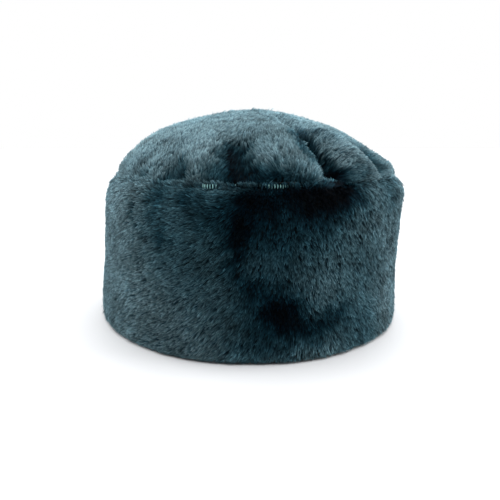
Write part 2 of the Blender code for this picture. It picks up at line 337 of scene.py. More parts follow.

# Painted shade on the wool where shade falls: in hollows, folds and a crease, under the crown's lobes,
# along the seam and on the less lit parts of the sides. A negative value is painted light, paler wool
# where more light falls.
# "deep" is how far down in a fold a row lies, in metres. A row that "faces" an azimuth darkens only
# the side of its fold that faces that way. "rise" is how much further out the wool's tips stand.
paintedShadeOnBand = [
    # painted shade down from the crown's first hollow
    {"azimuth": -13, "height": 0.99, "reach": 0.008, "paintedShade": 0.96},
    {"azimuth": -14, "height": 0.91, "reach": 0.009, "paintedShade": 0.985},
    {"azimuth": -16, "height": 0.80, "reach": 0.009, "paintedShade": 0.985},
    {"azimuth": -16, "height": 0.70, "reach": 0.008, "paintedShade": 0.975},
    {"azimuth": -17, "height": 0.60, "reach": 0.006, "paintedShade": 0.92},
    {"azimuth": -18, "height": 0.52, "reach": 0.006, "paintedShade": 0.60},
    {"azimuth": -21, "height": 0.88, "reach": 0.012, "paintedShade": 0.55},
    {"azimuth": -21, "height": 0.72, "reach": 0.012, "paintedShade": 0.40},
    {"azimuth": -9, "height": 0.76, "reach": 0.013, "paintedShade": 0.60},
    {"azimuth": -12, "height": 0.40, "reach": 0.012, "paintedShade": 0.55},
    # painted shade under the lobes of the crown
    {"azimuth": -6, "height": 0.88, "reach": 0.012, "paintedShade": 0.93},
    {"azimuth": 3, "height": 0.95, "reach": 0.011, "paintedShade": 0.90},
    {"azimuth": 8, "height": 0.89, "reach": 0.015, "paintedShade": 0.985},
    {"azimuth": 14, "height": 0.95, "reach": 0.012, "paintedShade": 0.985},
    {"azimuth": 15, "height": 0.90, "reach": 0.010, "paintedShade": 0.70},
    {"azimuth": 20, "height": 0.99, "reach": 0.009, "paintedShade": 0.90},
    {"azimuth": 25, "height": 0.92, "reach": 0.010, "paintedShade": 0.40},
    {"azimuth": 42, "height": 0.95, "reach": 0.014, "paintedShade": 0.45},
    {"azimuth": 7, "height": 0.72, "reach": 0.016, "paintedShade": 0.45},
    # painted shade along the seam under them
    {"azimuth": -7, "height": 1.00, "reach": 0.007, "paintedShade": 0.80},
    {"azimuth": 0, "height": 1.00, "reach": 0.007, "paintedShade": 0.87},
    {"azimuth": 7, "height": 1.00, "reach": 0.007, "paintedShade": 0.90},
    {"azimuth": 14, "height": 1.00, "reach": 0.008, "paintedShade": 0.93},
    {"azimuth": 18, "height": 1.00, "reach": 0.009, "paintedShade": 0.93},
    {"azimuth": 21, "height": 1.00, "reach": 0.007, "paintedShade": 0.70},
    # painted shade on the middle of the front
    {"azimuth": -4, "height": 0.68, "reach": 0.018, "paintedShade": 0.60},
    {"azimuth": -2, "height": 0.45, "reach": 0.016, "paintedShade": 0.25},
    # painted shade on a patch above the hem and its arms
    {"azimuth": -5, "height": 0.31, "reach": 0.013, "paintedShade": 0.985},
    {"azimuth": -3, "height": 0.25, "reach": 0.009, "paintedShade": 0.95},
    {"azimuth": -13, "height": 0.44, "reach": 0.007, "paintedShade": 0.80},
    {"azimuth": 0, "height": 0.30, "reach": 0.008, "paintedShade": 0.85},
    {"azimuth": 4, "height": 0.20, "reach": 0.009, "paintedShade": 0.92},
    {"azimuth": 10, "height": 0.18, "reach": 0.008, "paintedShade": 0.90},
    {"azimuth": 16, "height": 0.24, "reach": 0.008, "paintedShade": 0.85},
    {"azimuth": -12, "height": 0.08, "reach": 0.018, "paintedShade": 0.40},
    {"azimuth": -8, "height": 0.17, "reach": 0.014, "paintedShade": 0.55},
    {"azimuth": 0, "height": 0.14, "reach": 0.010, "paintedShade": 0.35},
    {"azimuth": -20, "height": 0.28, "reach": 0.014, "paintedShade": 0.22},
    # painted shade on the right side
    {"azimuth": 24, "height": 0.55, "reach": 0.022, "paintedShade": 0.35},
    {"azimuth": 26, "height": 0.12, "reach": 0.022, "paintedShade": 0.50},
    # painted shade on the left side, darkest in its upper half
    {"azimuth": -27, "height": 0.87, "reach": 0.012, "paintedShade": 0.50},
    {"azimuth": -37, "height": 0.70, "reach": 0.026, "paintedShade": 0.42},
    {"azimuth": -26, "height": 0.50, "reach": 0.018, "paintedShade": 0.30},
    {"azimuth": -34, "height": 0.97, "reach": 0.008, "paintedShade": 0.72},
    {"azimuth": -45, "height": 0.96, "reach": 0.009, "paintedShade": 0.76},
    {"azimuth": -46, "height": 0.82, "reach": 0.006, "paintedShade": 0.50},
    {"azimuth": -43, "height": 0.69, "reach": 0.006, "paintedShade": 0.75},
    # painted shade in a thin crease of the skin on that side
    {"azimuth": -57, "height": 0.87, "reach": 0.0024, "paintedShade": 0.90},
    {"azimuth": -56, "height": 0.81, "reach": 0.0024, "paintedShade": 0.90},
    {"azimuth": -54, "height": 0.75, "reach": 0.0024, "paintedShade": 0.90},
    {"azimuth": -51, "height": 0.69, "reach": 0.0024, "paintedShade": 0.85},
    # painted light: paler wool where more light falls
    {"azimuth": -55, "height": 0.25, "reach": 0.026, "paintedShade": -0.10},
    {"azimuth": -66, "height": 0.60, "reach": 0.020, "paintedShade": -0.15},
    {"azimuth": -70, "height": 0.95, "reach": 0.012, "paintedShade": -0.55},
    {"azimuth": 42, "height": 0.22, "reach": 0.018, "paintedShade": -0.18},
]
paintedShadeOnCrown = [
    # painted shade in the hollow left of the front lobe
    {"azimuth": -16, "out": 0.84, "reach": 0.008, "paintedShade": 0.98},
    {"azimuth": -17, "out": 0.89, "reach": 0.008, "paintedShade": 0.985},
    {"azimuth": -15, "out": 0.95, "reach": 0.008, "paintedShade": 0.985},
    {"azimuth": -14, "out": 0.99, "reach": 0.009, "paintedShade": 0.985},
    {"azimuth": -15, "out": 1.00, "deep": 0.006, "reach": 0.010, "paintedShade": 0.97},
    {"azimuth": -7, "out": 0.995, "reach": 0.008, "paintedShade": 0.80},
    {"azimuth": -3, "out": 0.99, "reach": 0.007, "paintedShade": 0.75},
    {"azimuth": 2, "out": 1.00, "reach": 0.008, "paintedShade": 0.75},
    {"azimuth": 8, "out": 1.00, "reach": 0.005, "paintedShade": 0.70},
    # painted shade in the deep fold right of it
    {"azimuth": 24, "out": 0.58, "deep": 0.006, "reach": 0.005, "paintedShade": 0.80, "faces": -55},
    {"azimuth": 29, "out": 0.68, "deep": 0.012, "reach": 0.006, "paintedShade": 0.92, "faces": -55},
    {"azimuth": 25, "out": 0.76, "deep": 0.015, "reach": 0.007, "paintedShade": 0.94, "faces": -55},
    {"azimuth": 21, "out": 0.82, "deep": 0.012, "reach": 0.006, "paintedShade": 0.94, "faces": -55},
    {"azimuth": 26, "out": 0.90, "deep": 0.018, "reach": 0.006, "paintedShade": 0.90, "faces": -55},
    {"azimuth": 29, "out": 0.97, "deep": 0.018, "reach": 0.007, "paintedShade": 0.96, "faces": -50},
    {"azimuth": 19, "out": 0.98, "deep": 0.006, "reach": 0.008, "paintedShade": 0.98, "faces": -45},
    {"azimuth": 24, "out": 1.00, "deep": 0.012, "reach": 0.009, "paintedShade": 0.97},
    {"azimuth": 17, "out": 0.99, "reach": 0.010, "paintedShade": 0.97},
    {"azimuth": 20, "out": 1.00, "reach": 0.009, "paintedShade": 0.90},
    {"azimuth": 11, "out": 0.75, "reach": 0.007, "paintedShade": 0.80, "faces": 45},
    {"azimuth": 10, "out": 0.80, "reach": 0.007, "paintedShade": 0.88, "faces": 45},
    {"azimuth": 11, "out": 0.86, "reach": 0.008, "paintedShade": 0.90, "faces": 45},
    {"azimuth": 11, "out": 0.91, "reach": 0.006, "paintedShade": 0.75, "faces": 45},
    # painted shade in folds further right
    {"azimuth": 47, "out": 0.76, "reach": 0.005, "paintedShade": 0.55},
    {"azimuth": 47, "out": 0.84, "reach": 0.006, "paintedShade": 0.78},
    {"azimuth": 44, "out": 0.90, "reach": 0.006, "paintedShade": 0.82},
    {"azimuth": 45, "out": 0.94, "reach": 0.006, "paintedShade": 0.70},
    {"azimuth": 45, "out": 0.98, "reach": 0.007, "paintedShade": 0.60},
    {"azimuth": 30, "out": 0.99, "reach": 0.006, "paintedShade": 0.45},
    # painted shade in the gathers along the seam on the left, with two small painted highlights
    {"azimuth": -25, "out": 0.98, "reach": 0.009, "paintedShade": 0.55},
    {"azimuth": -40, "out": 0.92, "reach": 0.006, "paintedShade": 0.90},
    {"azimuth": -38, "out": 0.985, "reach": 0.007, "paintedShade": 0.94},
    {"azimuth": -43, "out": 0.99, "reach": 0.006, "paintedShade": 0.92},
    {"azimuth": -53, "out": 0.985, "reach": 0.006, "paintedShade": 0.92},
    {"azimuth": -58, "out": 0.99, "reach": 0.005, "paintedShade": 0.70},
    {"azimuth": -48, "out": 0.98, "reach": 0.003, "paintedShade": -0.70},
    {"azimuth": -32, "out": 0.99, "reach": 0.004, "paintedShade": -0.30},
    # painted light: paler wool where more light falls
    {"azimuth": -55, "out": 0.75, "reach": 0.030, "paintedShade": -0.70},
    {"azimuth": -31, "out": 0.85, "reach": 0.014, "paintedShade": -0.92},
    {"azimuth": -10, "out": 0.35, "reach": 0.040, "paintedShade": -0.55},
    {"azimuth": -1, "out": 0.90, "reach": 0.012, "paintedShade": -0.55},
    {"azimuth": 22, "out": 0.89, "reach": 0.010, "paintedShade": -2.00},
    {"azimuth": 23, "out": 0.95, "reach": 0.006, "paintedShade": -0.40},
    {"azimuth": 9.5, "out": 0.985, "reach": 0.004, "paintedShade": -0.50},
    {"azimuth": 40, "out": 0.55, "reach": 0.018, "paintedShade": -0.45},
    {"azimuth": 100, "out": 0.60, "reach": 0.040, "paintedShade": -0.30},
    {"azimuth": 180, "out": 0.60, "reach": 0.050, "paintedShade": -0.30},
    {"azimuth": -100, "out": 0.70, "reach": 0.040, "paintedShade": -0.30},
    # a wisp on top with a little painted shade, and the lumps of the outline on the right
    {"azimuth": 2, "out": 0.28, "deep": 0.012, "reach": 0.004, "paintedShade": 0.15, "rise": 0.0016},
    {"azimuth": 55, "out": 0.80, "reach": 0.004, "paintedShade": 0.0, "rise": 0.0010},
    {"azimuth": 58, "out": 0.90, "reach": 0.004, "paintedShade": 0.0, "rise": 0.0012},
    {"azimuth": 60, "out": 0.97, "reach": 0.005, "paintedShade": 0.0, "rise": -0.0016},
    {"azimuth": 62, "out": 1.00, "reach": 0.004, "paintedShade": 0.0, "rise": 0.0016},
]

woolColour = {
    "pale": (0.222, 0.351, 0.388),  # at the tips
    "deep": (0.058, 0.124, 0.162),  # down in the pile, as a share of that: painted shade among the fibres
    "fade": 4.0,  # how soon below the tips it is deep
    "hueSpread": (0.02, 0.0, -0.01),  # how far red, green and blue stray
    "hueSize": 0.03,
    "hueOwn": 0.5,  # each tuft's own share of that
    "brightest": 0.85,
    "leastLit": 0.01,
    "mostLit": 2.2,
    "roughness": 0.70,
    "paintedShadeTint": (1.60, 1.03, 0.89),  # how fast each colour goes as painted shade darkens the wool
    "paintedLightTint": (1.10, 1.0, 0.98),  # and how fast it comes where painted light makes it paler
    "sheen": 0.60,
    "sheenRoughness": 0.50,
    "specular": 0.05,
    "through": 0.45,  # share of the light that a fibre lets through
}


def unit(vectors):
    return vectors / np.maximum(np.linalg.norm(vectors, axis=-1, keepdims=True), 1e-12)


def dots(a, b):
    return (a * b).sum(-1, keepdims=True)


# The level direction to the right and the one up the slope, at each normal.
def levelAndUp(normals):
    level = np.cross((0.0, 0.0, 1.0), normals)
    return unit(level), unit(np.cross(normals, unit(level)))


# Where a row of a table lies on the wool sheet, and which way the sheet faces there.
def rowSpot(row, tree):
    turn = math.radians(row["azimuth"])
    side = Vector((bandHigh.x * math.sin(turn), -bandHigh.y * math.cos(turn), 0))
    if "out" in row:
        rise = (crownHigh.z - seamHeight) * math.sqrt(1 - row["out"] ** 2)
        aim = side * row["out"] * pile["rim"] + Vector((0, 0, seamHeight + rise))
        aim -= outward(aim) * row.get("deep", 0)
        spot, normal, _, _ = tree.find_nearest(aim)
    else:
        spot, normal, _, _ = tree.find_nearest(side + Vector((0, 0, row["height"] * seamHeight)))
    return np.array(spot), np.array(normal)


# The lie of the wool at each point, as a direction along the skin and a lift in degrees.
def napAt(points, normals, rows, tree):
    lean = np.zeros_like(points)
    lift = np.zeros(len(points))
    total = np.zeros(len(points))
    for row in rows:
        spot, normal = rowSpot(row, tree)
        if "heading" in row:
            way = np.array(ringPoint(row["heading"], 1, 0))
        else:
            level, up = levelAndUp(normal[None])
            turn = math.radians(row["turn"])
            way = level[0] * math.cos(turn) + up[0] * math.sin(turn)
        far = np.linalg.norm(points - spot, axis=1) / row["reach"]
        weight = 1 / (1 + far ** 4)
        lean += weight[:, None] * way
        lift += weight * row["lift"]
        total += weight
    lean -= normals * dots(lean, normals)
    return unit(lean), lift / total


# The painted shade that the rows of a table put on the wool at each point: 1 is black, and below 0 it is
# painted light, paler.
def paintedShadeAt(points, normals, rows, tree, rng):
    light = np.ones(len(points))
    wander = np.stack([ripple(points, pile["raggedSize"], seed) for seed in (21, 22, 23)], 1)
    points = points + wander * pile["ragged"] + rng.normal(0, pile["speckle"], points.shape)
    for row in rows:
        spot, _ = rowSpot(row, tree)
        share = row["paintedShade"] * np.exp(-(np.linalg.norm(points - spot, axis=1) / row["reach"]) ** 2)
        if "faces" in row:
            facing = normals @ np.array(ringPoint(row["faces"], 1, 0))
            share *= np.clip(pile["foldEven"] + pile["foldRise"] * facing, 0, 1)
        light *= 1 - share
    return 1 - light


# How far out rows with a "rise" move the wool at each point.
def riseAt(points, rows, tree):
    rise = np.zeros(len(points))
    for row in rows:
        if "rise" in row:
            spot, _ = rowSpot(row, tree)
            rise += row["rise"] * np.exp(-(np.linalg.norm(points - spot, axis=1) / row["reach"]) ** 2)
    return rise


rippleSteps = (1.7, 0.9, 2.3)  # how far apart the noises of two seeds lie
rippleHeight = 1.6  # brings the noise to about -1 to 1


# Soft noise from about -1 to 1 at each point.
def ripple(points, size, seed):
    shift = Vector([seed * step for step in rippleSteps])
    return np.array([noise.noise(Vector(p) / size + shift) for p in points]) * rippleHeight


# Points spread evenly over a sheet of triangles, with smooth normals.
def scattered(bm, count, rng):
    corners = np.array([[v.co[:] for v in f.verts] for f in bm.faces])
    facing = np.array([[v.normal[:] for v in f.verts] for f in bm.faces])
    area = np.linalg.norm(np.cross(corners[:, 1] - corners[:, 0], corners[:, 2] - corners[:, 0]), axis=1)
    share = np.cumsum(area) / area.sum()
    pick = np.searchsorted(share, (np.arange(count) + rng.random(count)) / count)
    a, b = rng.random(count), rng.random(count)
    fold = a + b > 1
    a, b = np.where(fold, 1 - a, a), np.where(fold, 1 - b, b)
    weights = np.stack([1 - a - b, a, b], 1)[:, :, None]
    return (corners[pick] * weights).sum(1), unit((facing[pick] * weights).sum(1))


# Each vector turned about its axis, both at right angles to each other.
def turned(vectors, axes, angles):
    return vectors * np.cos(angles) + np.cross(axes, vectors) * np.sin(angles)


# How the wool stands, how pale it is and its painted shade and light at points of a sheet, with rows of
# the two tables.
def tuftsAt(points, normals, napRows, paintedShadeRows, tree, rng):
    count = len(points)
    lean, lift = napAt(points, normals, napRows, tree)
    sway = pile["turnNoise"] * ripple(points, pile["turnNoiseSize"], seed=1)
    turnBy = np.radians(sway + rng.normal(0, pile["turnSpread"], count))
    lean = turned(lean, normals, turnBy[:, None])
    lift += pile["liftNoise"] * ripple(points, pile["liftNoiseSize"], seed=2)
    lift = np.clip(lift + rng.normal(0, pile["liftSpread"], count), pile["flattest"], pile["steepest"])
    # painted shade and painted light from the table's rows; the wool also lies lower where the shade is
    paintedShade = paintedShadeAt(points, normals, paintedShadeRows, tree, rng)
    out = pile["lump"] * ripple(points, pile["lumpSize"], seed=8)
    out += riseAt(points, paintedShadeRows, tree) - pile["sink"] * np.clip(paintedShade, 0, 1)
    tone = np.exp(rng.normal(0, pile["tuftTone"], count))
    tone *= 1 + pile["mottle"] * ripple(points, pile["mottleSize"], seed=3)
    tone *= 1 + pile["patch"] * ripple(points, pile["patchSize"], seed=5)
    hue = ripple(points, woolColour["hueSize"], seed=4) + rng.normal(0, woolColour["hueOwn"], count)
    return {
        "point": points + normals * out[:, None],
        "normal": normals,
        "lean": lean,
        "lift": np.radians(lift),
        "tone": np.clip(tone, *pile["toneLimits"]),
        "paintedShade": paintedShade,
        "hue": hue,
    }


def tuftsOn(nodeName, count, napRows, paintedShadeRows):
    rng = np.random.default_rng(seeds[nodeName])
    bm = woolSheet(nodeName)
    tree = BVHTree.FromBMesh(bm)
    points, normals = scattered(bm, count, rng)
    bm.free()
    azimuths = np.degrees(np.arctan2(points[:, 0], -points[:, 1]))
    shows = partedAt(azimuths) * (np.abs(points[:, 2] - seamHeight) < seam["partingReach"])
    stays = rng.random(count) > shows
    points, normals, azimuths = points[stays], normals[stays], azimuths[stays]
    if nodeName == "side_band":  # at the hem the wool hangs down as on the wall above it
        normals[:, 2] = np.maximum(normals[:, 2], 0)
        normals = unit(normals)
    order = np.argsort(azimuths)
    tufts = tuftsAt(points[order], normals[order], napRows, paintedShadeRows, tree, rng)
    if nodeName == "crown":
        spots = tufts["point"]
        rim = np.hypot(spots[:, 0] / crownHigh.x, spots[:, 1] / crownHigh.y) * crownHigh.x
        around = spots[:, :2] * pile["rowLength"]
        rows = np.column_stack([around, rim - spots[:, 2] * pile["rowClimb"]])
        # painted light and shade in soft rows along the crown's rim
        tufts["tone"] *= 1 + pile["paintedRowShade"] * ripple(rows, pile["rowSize"], seed=6)
    return tufts


# The four points of each flat fibre, its root, two middles and tip, and their colours.
def fibresOf(tufts, fibreTone, rng):
    count, many = len(tufts["point"]), pile["fibresInTuft"]
    normal, lean = tufts["normal"][:, None], tufts["lean"][:, None]
    side = np.cross(normal, lean)
    ownLift = rng.normal(0, pile["fibreLiftSpread"], (count, many, 1))
    lift = tufts["lift"][:, None, None] + np.radians(ownLift)
    along = normal * np.sin(lift) + lean * np.cos(lift)
    length = pile["length"] * (1 + pile["lengthSpread"] * rng.normal(0, 1, (count, many, 1)))
    radius = pile["tuftRadius"] * np.sqrt(rng.random((count, many, 1)))
    spin = rng.random((count, many, 1)) * 2 * math.pi
    offset = radius * (lean * np.cos(spin) + side * np.sin(spin))
    tip = tufts["point"][:, None] + offset * (1 - pile["gather"])
    tip = tip + rng.normal(0, pile["stray"], (count, many, 3))
    tip = tip + normal * rng.exponential(pile["fuzz"], (count, many, 1))
    root = tufts["point"][:, None] + offset - along * length
    fibre = tip - root
    middle = root + fibre * pile["widest"] + normal * pile["bend"] * length
    across = unit(np.cross(fibre, normal))
    roll = np.radians(rng.normal(0, pile["roll"], (count, many, 1)))
    across = turned(across, unit(fibre), roll)
    own = unit(np.cross(fibre, across))  # the way its flat side faces, out of the pile
    across, own = across * np.sign(dots(own, normal)), own * np.sign(dots(own, normal))
    width = pile["width"] * (1 + pile["widthSpread"] * rng.normal(0, 1, (count, many, 1)))
    across = across * np.clip(width, *pile["widthLimits"]) / 2
    corners = np.stack([root, middle - across, middle + across, tip], 2)
    corners[..., 2] = np.maximum(corners[..., 2], pile["lowest"])
    tone = tufts["tone"][:, None] * np.exp(fibreTone * rng.normal(0, 1, (count, many)))
    warm = 1 + tufts["hue"][:, None, None] * np.array(woolColour["hueSpread"])
    # painted shade from the tables darkens each tuft, and painted light pales it, shifting its hue
    lit = np.clip(1 - tufts["paintedShade"], woolColour["leastLit"], woolColour["mostLit"])[:, None, None]
    lit = lit ** np.where(lit < 1, woolColour["paintedShadeTint"], woolColour["paintedLightTint"])
    colours = np.array(woolColour["pale"]) * warm * lit * tone[:, :, None]
    peak = colours.max(2, keepdims=True)
    colours = colours * np.minimum(1, woolColour["brightest"] / peak)
    # a fibre is lit partly by its own flat side and partly as the pile's surface is
    facing = unit(own * (1 - pile["plush"]) + normal * pile["plush"])
    facing = np.repeat(facing[:, :, None], 4, 2)
    return corners.reshape(-1, 4, 3), colours.reshape(-1, 3), facing.reshape(-1, 3)


# One mesh of flat fibres, two triangles each, with a cell of its UV map for each fibre.
def fibrePiece(name, corners, colours, facing, material):
    count = len(corners)
    data = bpy.data.meshes.new(name)
    data.vertices.add(count * 4)
    data.vertices.foreach_set("co", corners.astype(np.float32).ravel())
    faces = np.array([[0, 1, 2], [3, 2, 1]])
    loops = (np.arange(count)[:, None, None] * 4 + faces).ravel()
    data.loops.add(len(loops))
    data.loops.foreach_set("vertex_index", loops.astype(np.int32))
    data.polygons.add(count * 2)
    data.polygons.foreach_set("loop_start", np.arange(0, count * 6, 3, dtype=np.int32))
    data.update(calc_edges=True)
    # the wool's colour, with the tables' painted shade and painted light in it
    tint = data.color_attributes.new("woolTintShadeAndLight", "FLOAT_COLOR", "POINT")
    shown = np.repeat(np.concatenate([colours, np.ones((count, 1))], 1), 4, 0)
    tint.data.foreach_set("color", shown.astype(np.float32).ravel())
    along = data.attributes.new("woolAlong", "FLOAT", "POINT")
    steps = [0.0, pile["widest"], pile["widest"], 1.0]
    along.data.foreach_set("value", np.tile(np.array(steps, np.float32), count))
    grid = math.ceil(math.sqrt(count))
    cell = np.stack([np.arange(count) % grid, np.arange(count) // grid], 1)[:, None, None]
    spots = np.array([(0.5, 0.06), (0.1, 0.5), (0.9, 0.5), (0.5, 0.94)])  # a fibre's points in it
    bake = data.uv_layers.new(name="OFBake")
    bake.data.foreach_set("uv", ((cell + spots[faces]) / grid).astype(np.float32).ravel())
    data.shade_smooth()
    data.normals_split_custom_set_from_vertices(facing)
    data.materials.append(material)
    piece = bpy.data.objects.new(name, data)
    bpy.context.scene.collection.objects.link(piece)
    return piece


def woolMaterial():
    material = bpy.data.materials.new("dyedAndShadedWool")
    material.use_nodes = True
    nodes, links = material.node_tree.nodes, material.node_tree.links
    shader = nodes["Principled BSDF"]
    tint = nodes.new("ShaderNodeAttribute")
    tint.attribute_name = "woolTintShadeAndLight"
    along = nodes.new("ShaderNodeAttribute")
    along.attribute_name = "woolAlong"
    fade = nodes.new("ShaderNodeMath")
    fade.operation = "POWER"
    fade.inputs[1].default_value = woolColour["fade"]
    # painted shade down towards each fibre's root, from the deep share at the root to none at the tip
    share = nodes.new("ShaderNodeMix")
    share.data_type = "RGBA"
    share.inputs["A"].default_value = (*woolColour["deep"], 1)
    share.inputs["B"].default_value = (1, 1, 1, 1)
    dyedAndShaded = nodes.new("ShaderNodeMix")
    dyedAndShaded.data_type = "RGBA"
    dyedAndShaded.blend_type = "MULTIPLY"
    dyedAndShaded.inputs["Factor"].default_value = 1.0
    links.new(along.outputs["Fac"], fade.inputs[0])
    links.new(fade.outputs[0], share.inputs["Factor"])
    links.new(tint.outputs["Color"], dyedAndShaded.inputs["A"])
    links.new(share.outputs["Result"], dyedAndShaded.inputs["B"])
    links.new(dyedAndShaded.outputs["Result"], shader.inputs["Base Color"])
    shader.inputs["Roughness"].default_value = woolColour["roughness"]
    shader.inputs["Specular IOR Level"].default_value = woolColour["specular"]
    shader.inputs["Sheen Weight"].default_value = woolColour["sheen"]
    shader.inputs["Sheen Roughness"].default_value = woolColour["sheenRoughness"]
    links.new(dyedAndShaded.outputs["Result"], shader.inputs["Sheen Tint"])
    # light from behind comes through, spread about the pile's surface as the light in front is
    through = nodes.new("ShaderNodeBsdfTranslucent")
    mix = nodes.new("ShaderNodeMixShader")
    shape = nodes.new("ShaderNodeNewGeometry")
    flat = nodes.new("ShaderNodeVectorMath")
    flat.operation = "SCALE"
    flat.inputs["Scale"].default_value = 2 * (1 - pile["plush"])
    back = nodes.new("ShaderNodeVectorMath")
    back.operation = "SUBTRACT"
    mix.inputs[0].default_value = woolColour["through"]
    links.new(shape.outputs["True Normal"], flat.inputs[0])
    links.new(flat.outputs[0], back.inputs[0])
    links.new(shape.outputs["Normal"], back.inputs[1])
    links.new(back.outputs[0], through.inputs["Normal"])
    links.new(dyedAndShaded.outputs["Result"], through.inputs["Color"])
    links.new(shader.outputs[0], mix.inputs[1])
    links.new(through.outputs[0], mix.inputs[2])
    links.new(mix.outputs[0], nodes["Material Output"].inputs["Surface"])
    return material


def makePile(tufts, label, parts, fibreTone, material):
    rng = np.random.default_rng(seeds[label])
    for number, share in enumerate(np.array_split(np.arange(len(tufts["point"])), parts), 1):
        made = fibresOf({key: value[share] for key, value in tufts.items()}, fibreTone, rng)
        piece = fibrePiece(f"{label}_{number}", *made, material)
        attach(piece, "root")
        print(piece.name, len(piece.data.polygons), "triangles")


# The crown seam

ringDegrees = np.arange(-180, 181)  # the azimuths of its outline, with the first one again at the end

seam = {
    "tufts": 8500,
    "below": 0.0045,  # how far down its wool reaches
    "above": 0.0028,  # and how far up
    "sunk": 0.0013,  # how far in from the hat's outline its tips lie
    "sunkSpread": 0.0007,
    "lift": 56,  # degrees
    "swing": 50,  # how far its wool leans every way
    "spread": 0.9,  # how far its tips open up and down
    "lineWidth": 0.13,  # share of that reach which the painted shade along the seam's line takes
    # how dark that painted shade is
    "paintedShade": 0.40,
    "border": 0.98,  # how far up the reach the band's wool goes over into the crown's, as a share
    "blend": 0.5,  # how softly it does
    "wander": 0.15,  # and how far the border strays
    "wanderSize": 0.012,
    "partings": [
        # where the wool is parted and the stitches show, in degrees, and what share of it is gone
        {"azimuth": -22.8, "width": 2.6, "share": 0.95},
        {"azimuth": -3.5, "width": 3.0, "share": 0.48},
    ],
    "partingReach": 0.0022,  # how far up and down the wool is parted there
    "partingShare": 0.32,  # and the seam's own wool, as a share of its reach
    "stitches": 450,
    "stitchHeight": 0.0024,
    "stitchBow": 0.0005,  # how far a stitch's middle stands out
    "threadSize": 0.00055,
    "stitchSunk": 0.0050,
    "partedSunk": 0.0002,  # where the wool is parted the stitches lie further out
    "threadColour": (0.24, 0.50, 0.49),
    "threadDark": (0.10, 0.24, 0.24),
    "threadRoughness": 0.6,
    "plyScale": 900,
    "plyEdges": (0.3, 0.6),  # between which its two colours blend
    "castFrom": 0.3,  # how far out the look for its outline starts
}


# The outline across the seam, one row for each degree: just below it and just above it.
def seamOutline():
    rows = []
    for nodeName, height in [("side_band", -seam["below"]), ("crown", seam["above"])]:
        bm = woolSheet(nodeName)
        tree = BVHTree.FromBMesh(bm)
        bm.free()
        ring = []
        for azimuth in ringDegrees[:-1]:
            way = ringPoint(azimuth, 1, 0)
            start = Vector((0, 0, seamHeight + height)) + way * seam["castFrom"]
            spot, _, _, _ = tree.ray_cast(start, -way)
            ring.append(spot)
        rows.append(np.array(ring + ring[:1]))
    return rows


# Points on that outline: azimuths in degrees, and shares of the way up across the seam.
def acrossSeam(azimuths, shares, outline):
    spots = []
    for ring in outline:
        spots.append(np.stack([np.interp(azimuths, ringDegrees, ring[:, k]) for k in range(3)], 1))
    return spots[0] * (1 - shares[:, None]) + spots[1] * shares[:, None]


# What share of the wool is gone in the partings, at some azimuths.
def partedAt(azimuths):
    parted = np.zeros(len(azimuths))
    for gap in seam["partings"]:
        near = np.exp(-((azimuths - gap["azimuth"]) / gap["width"]) ** 4)
        parted = np.maximum(parted, near * gap["share"])
    return parted


# The wool that closes over the seam.
def seamTufts():
    rng = np.random.default_rng(seeds["seam"])
    outline = seamOutline()
    spans = np.cumsum(np.linalg.norm(outline[1] - outline[0], axis=1)[:-1])
    places = np.sort(rng.random(seam["tufts"])) * spans[-1]
    azimuths = np.interp(places, np.concatenate([[0], spans]), ringDegrees)
    shares = rng.random(seam["tufts"])
    near = np.abs(shares - 0.5) < seam["partingShare"]
    stays = rng.random(seam["tufts"]) > partedAt(azimuths) * near
    azimuths, shares = azimuths[stays], shares[stays]
    count = len(azimuths)
    points = acrossSeam(azimuths, shares, outline)
    out = unit(points * (1, 1, 0))
    middle = 1 - np.abs(shares * 2 - 1)
    points = points - out * (middle * seam["sunk"] + rng.normal(0, seam["sunkSpread"], count))[:, None]
    ends = [acrossSeam(azimuths, np.full(count, share), outline) for share in (0.0, 1.0)]
    along = unit(ends[1] - ends[0])
    normals = unit(out - along * dots(out, along) + along * (shares[:, None] - 0.5) * seam["spread"])
    sides = []
    for nodeName, napRows, paintedShadeRows in [
        ("side_band", napOnBand, paintedShadeOnBand),
        ("crown", napOnCrown, paintedShadeOnCrown),
    ]:
        bm = woolSheet(nodeName)
        tree = BVHTree.FromBMesh(bm)
        bm.free()
        sides.append(tuftsAt(points, normals, napRows, paintedShadeRows, tree, rng))
    border = seam["border"] + seam["wander"] * ripple(points, seam["wanderSize"], seed=9)
    upper = np.clip((shares - border) / seam["blend"] + 0.5, 0, 1)
    tufts = {}
    for key, below in sides[0].items():
        share = upper if below.ndim == 1 else upper[:, None]
        tufts[key] = below * (1 - share) + sides[1][key] * share
    tufts["lean"] = unit(tufts["lean"] - tufts["normal"] * dots(tufts["lean"], tufts["normal"]))
    swing = rng.normal(0, seam["swing"], count) * middle
    tufts["lean"] = turned(tufts["lean"], tufts["normal"], np.radians(swing)[:, None])
    tufts["lift"] = np.maximum(tufts["lift"], math.radians(seam["lift"]))
    # painted shade along the middle of the seam
    line = np.exp(-((shares - 0.5) / seam["lineWidth"]) ** 2)
    tufts["paintedShade"] = 1 - (1 - tufts["paintedShade"]) * (1 - seam["paintedShade"] * line)
    return tufts


